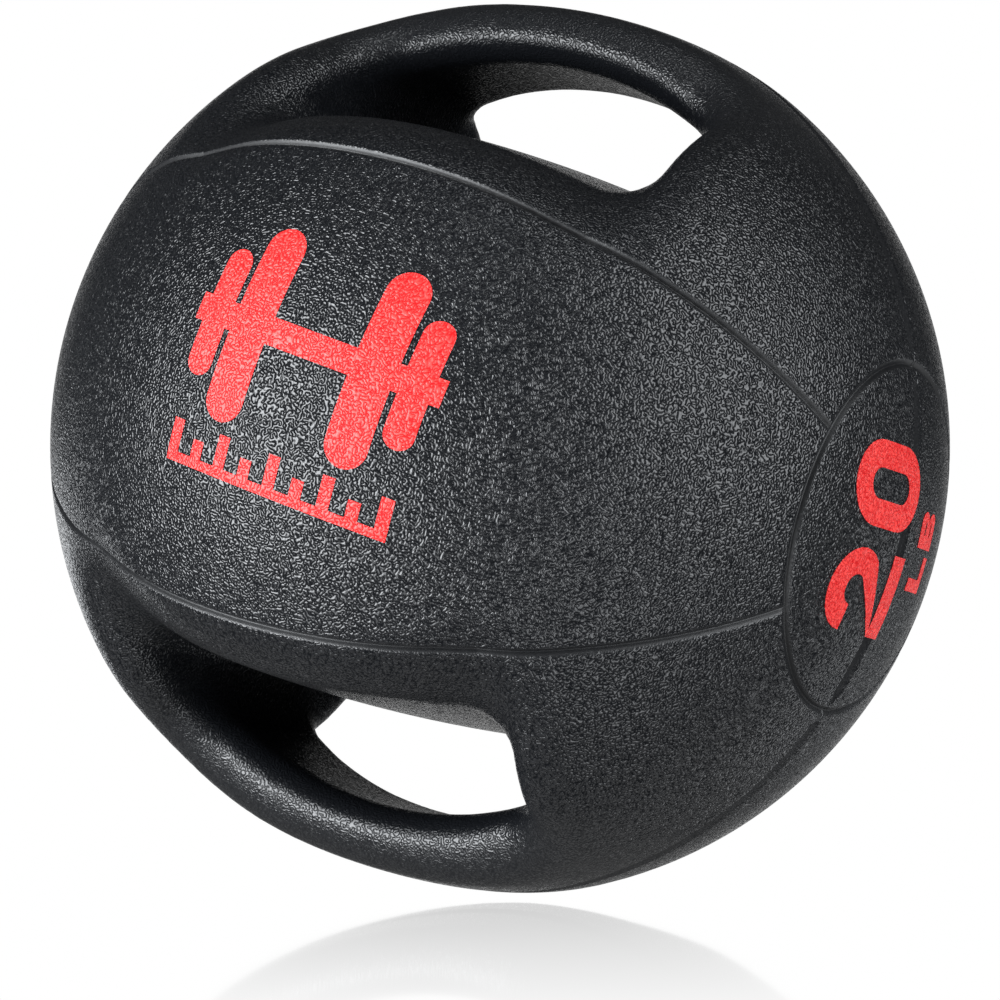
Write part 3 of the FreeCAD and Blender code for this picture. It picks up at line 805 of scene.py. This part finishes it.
def pale_floor():
    """White that glows evenly, with a reflection that fades away from the point under the ball."""
    material = bpy.data.materials.new("pale_floor")
    material.use_nodes = True
    nodes, link = material.node_tree.nodes, material.node_tree.links.new
    nodes.remove(nodes["Principled BSDF"])
    glow, gloss = nodes.new("ShaderNodeEmission"), nodes.new("ShaderNodeBsdfGlossy")
    glow.inputs["Strength"].default_value = WHITE_SEEN
    gloss.inputs["Roughness"].default_value = 0.05
    gloss.inputs["Color"].default_value = (1, 1, 1, 1)
    contact = nodes.new("ShaderNodeVectorMath")
    contact.operation = "LENGTH"
    link(nodes.new("ShaderNodeTexCoord").outputs["Object"], contact.inputs[0])
    shine = remap(material, contact.outputs["Value"], 0.0, FLOOR_SHINE_REACH, FLOOR_GLOSS, 0.0)
    mixed, one_sided = nodes.new("ShaderNodeMixShader"), nodes.new("ShaderNodeMixShader")
    link(shine, mixed.inputs["Fac"])
    link(glow.outputs[0], mixed.inputs[1])
    link(gloss.outputs[0], mixed.inputs[2])
    link(nodes.new("ShaderNodeNewGeometry").outputs["Backfacing"], one_sided.inputs["Fac"])
    link(mixed.outputs[0], one_sided.inputs[1])
    link(nodes.new("ShaderNodeBsdfTransparent").outputs[0], one_sided.inputs[2])
    link(one_sided.outputs[0], nodes["Material Output"].inputs["Surface"])
    return material


def add_floor():
    """A level floor. The ball lies rolled over a little, so its frame leans to the floor.

    No edge of the floor shows, and nothing is seen of it from below.
    """
    _, up, _ = view_axes()
    bm = bmesh.new()
    bmesh.ops.create_circle(bm, cap_ends=True, segments=96, radius=FLOOR_RADIUS)
    turn = up.to_track_quat("Z", "Y").to_matrix().to_4x4()
    mesh = bpy.data.meshes.new("floor")
    bm.to_mesh(mesh)
    bm.free()
    mesh.materials.append(pale_floor())
    floor = bpy.data.objects.new("floor", mesh)
    floor.matrix_world = Matrix.Translation(-up * FLOOR_DROP) @ turn
    bpy.context.scene.collection.objects.link(floor)
    floor.visible_shadow = floor.visible_glossy = floor.visible_diffuse = False


def add_world():
    """A white surround that gives the ball little light of its own.

    It is brighter straight behind the ball, and below it, where a white floor would throw light up.
    """
    world = bpy.data.worlds.new("studio")
    world.use_nodes = True
    nodes, link = world.node_tree.nodes, world.node_tree.links.new
    _, up, back = view_axes()
    place = nodes.new("ShaderNodeTexCoord").outputs["Generated"]

    def towards(direction, start, end, dim, bright):
        """A brightness that rises from dim at the angle start off the direction to bright at end."""
        facing, ramp = nodes.new("ShaderNodeVectorMath"), nodes.new("ShaderNodeMapRange")
        facing.operation = "DOT_PRODUCT"
        facing.inputs[1].default_value = direction
        values = (math.cos(math.radians(start)), math.cos(math.radians(end)), dim, bright)
        for key, number in zip(("From Min", "From Max", "To Min", "To Max"), values):
            ramp.inputs[key].default_value = number
        link(place, facing.inputs[0])
        link(facing.outputs["Value"], ramp.inputs["Value"])
        return ramp.outputs["Result"]

    total = nodes.new("ShaderNodeMath")
    total.operation = "ADD"
    link(towards(-back, 22, 13, WORLD_FELT, WHITE_SEEN), total.inputs[0])
    link(towards(-up, 80, 40, 0.0, FLOOR_FELT), total.inputs[1])
    seen_or_felt = nodes.new("ShaderNodeMix")
    seen_or_felt.inputs["B"].default_value = WHITE_SEEN
    link(nodes.new("ShaderNodeLightPath").outputs["Is Camera Ray"], seen_or_felt.inputs["Factor"])
    link(total.outputs[0], seen_or_felt.inputs["A"])
    link(seen_or_felt.outputs["Result"], nodes["Background"].inputs["Strength"])
    nodes["Background"].inputs["Color"].default_value = (1, 1, 1, 1)
    bpy.context.scene.world = world


def add_studio():
    bpy.context.scene.view_settings.view_transform = "Standard"
    add_camera()
    add_floor()
    add_world()
    for light in LIGHTS:
        add_light(*light)


build_cover()
build_prints()
finish_inner_nodes()
add_studio()
